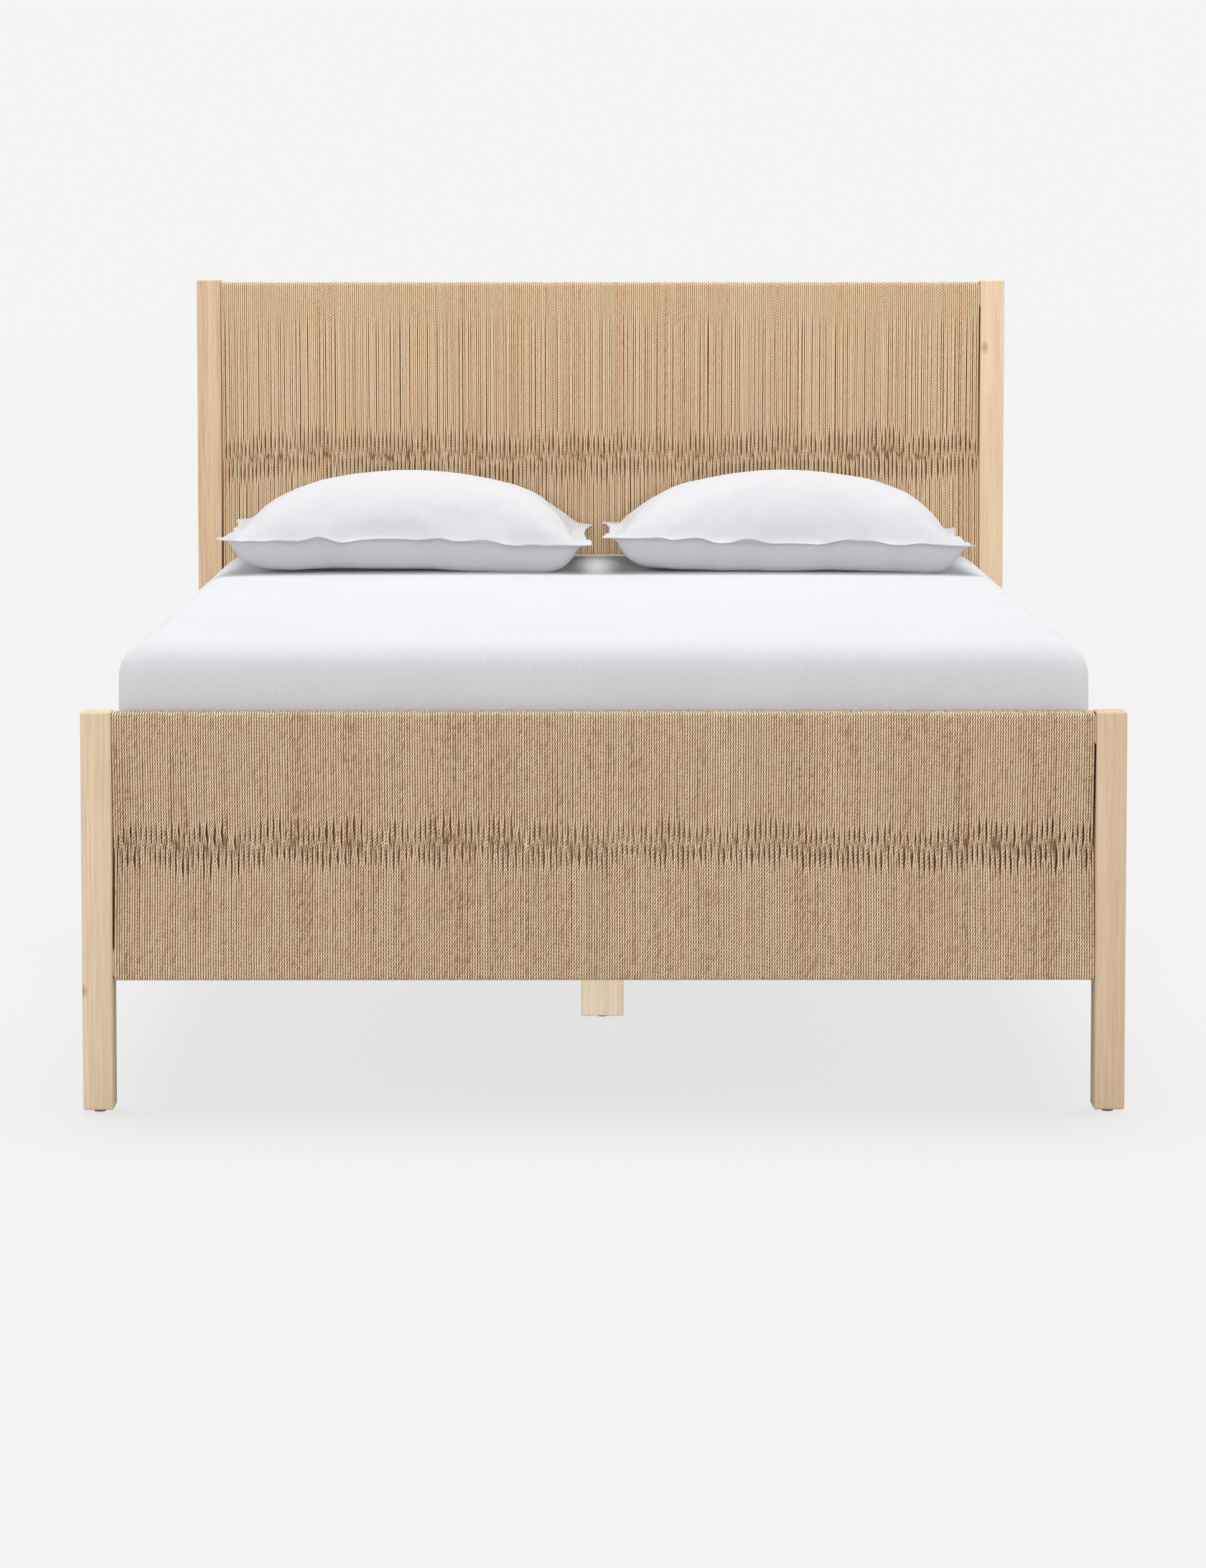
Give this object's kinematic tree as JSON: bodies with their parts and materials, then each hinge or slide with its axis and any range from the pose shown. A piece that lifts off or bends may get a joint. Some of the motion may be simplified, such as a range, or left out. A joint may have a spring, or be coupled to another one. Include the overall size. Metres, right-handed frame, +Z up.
{
  "type": "platform bed",
  "caption": "Queen platform bed with pale wooden posts, cord-wound headboard and footboard panels, a slatted deck on a centre beam, a mattress and pillows.",
  "frame": {"origin": "on the floor, under the middle of the bed", "axes": "+Z up, +Y from the foot to the head, +X to the right when looking from the foot"},
  "size_m": [1.64, 2.16, 1.296],
  "materials": {
    "post_wood": "satin",
    "rail_wood": "matte",
    "deck_wood": "matte",
    "cord": "matte",
    "zinc_steel": "satin",
    "insert_brass": "satin",
    "leveller_plastic": "matte",
    "mattress_fabric": "matte",
    "pillow_fabric": "matte"
  },
  "bodies": {
    "frame": {"beam_brackets": "zinc_steel", "centre_beam": "deck_wood", "centre_leg_foot": "post_wood", "centre_leg_head": "post_wood", "centre_leg_plates": "zinc_steel", "corner_brackets": "zinc_steel", "foot_cord_winding": "cord", "foot_cross_rail": "deck_wood", "foot_panel_bottom_rail": "rail_wood", "foot_panel_top_rail": "rail_wood", "foot_post_left": "post_wood", "foot_post_right": "post_wood", "head_cord_winding": "cord", "head_cross_rail": "deck_wood", "head_panel_bottom_rail": "rail_wood", "head_panel_top_rail": "rail_wood", "head_post_left": "post_wood", "head_post_right": "post_wood", "ledger_left": "deck_wood", "ledger_right": "deck_wood", "leveller_inserts": "insert_brass", "post_slot_plates": "zinc_steel", "rail_hook_plates": "zinc_steel", "side_rail_left": "post_wood", "side_rail_right": "post_wood", "slat_01": "deck_wood", "slat_02": "deck_wood", "slat_03": "deck_wood", "slat_04": "deck_wood", "slat_05": "deck_wood", "slat_06": "deck_wood", "slat_07": "deck_wood", "slat_08": "deck_wood", "slat_09": "deck_wood", "slat_10": "deck_wood", "slat_11": "deck_wood", "slat_12": "deck_wood", "slat_13": "deck_wood", "slat_14": "deck_wood"},
    "leveller_centre_foot": {"leveller_centre_foot": "leveller_plastic"},
    "leveller_centre_head": {"leveller_centre_head": "leveller_plastic"},
    "leveller_foot_left": {"leveller_foot_left": "leveller_plastic"},
    "leveller_foot_right": {"leveller_foot_right": "leveller_plastic"},
    "leveller_head_left": {"leveller_head_left": "leveller_plastic"},
    "leveller_head_right": {"leveller_head_right": "leveller_plastic"},
    "mattress": {"mattress": "mattress_fabric"},
    "pillow_left": {"pillow_left": "pillow_fabric"},
    "pillow_right": {"pillow_right": "pillow_fabric"}
  },
  "joints": [
    {"name": "mattress_lift", "type": "slide", "parent": "frame", "child": "mattress", "axis": [0, 0, 1], "range_m": [0, 0.4]},
    {"name": "pillow_left_lift", "type": "slide", "parent": "mattress", "child": "pillow_left", "axis": [0, 0, 1], "range_m": [0, 0.25]},
    {"name": "pillow_right_lift", "type": "slide", "parent": "mattress", "child": "pillow_right", "axis": [0, 0, 1], "range_m": [0, 0.25]},
    {"name": "leveller_centre_foot_screw", "type": "slide", "parent": "frame", "child": "leveller_centre_foot", "axis": [0, 0, -1], "range_m": [-0.001, 0.012]},
    {"name": "leveller_centre_head_screw", "type": "slide", "parent": "frame", "child": "leveller_centre_head", "axis": [0, 0, -1], "range_m": [-0.001, 0.012]},
    {"name": "leveller_foot_left_screw", "type": "slide", "parent": "frame", "child": "leveller_foot_left", "axis": [0, 0, -1], "range_m": [-0.001, 0.012]},
    {"name": "leveller_foot_right_screw", "type": "slide", "parent": "frame", "child": "leveller_foot_right", "axis": [0, 0, -1], "range_m": [-0.001, 0.012]},
    {"name": "leveller_head_left_screw", "type": "slide", "parent": "frame", "child": "leveller_head_left", "axis": [0, 0, -1], "range_m": [-0.001, 0.012]},
    {"name": "leveller_head_right_screw", "type": "slide", "parent": "frame", "child": "leveller_head_right", "axis": [0, 0, -1], "range_m": [-0.001, 0.012]}
  ]
}
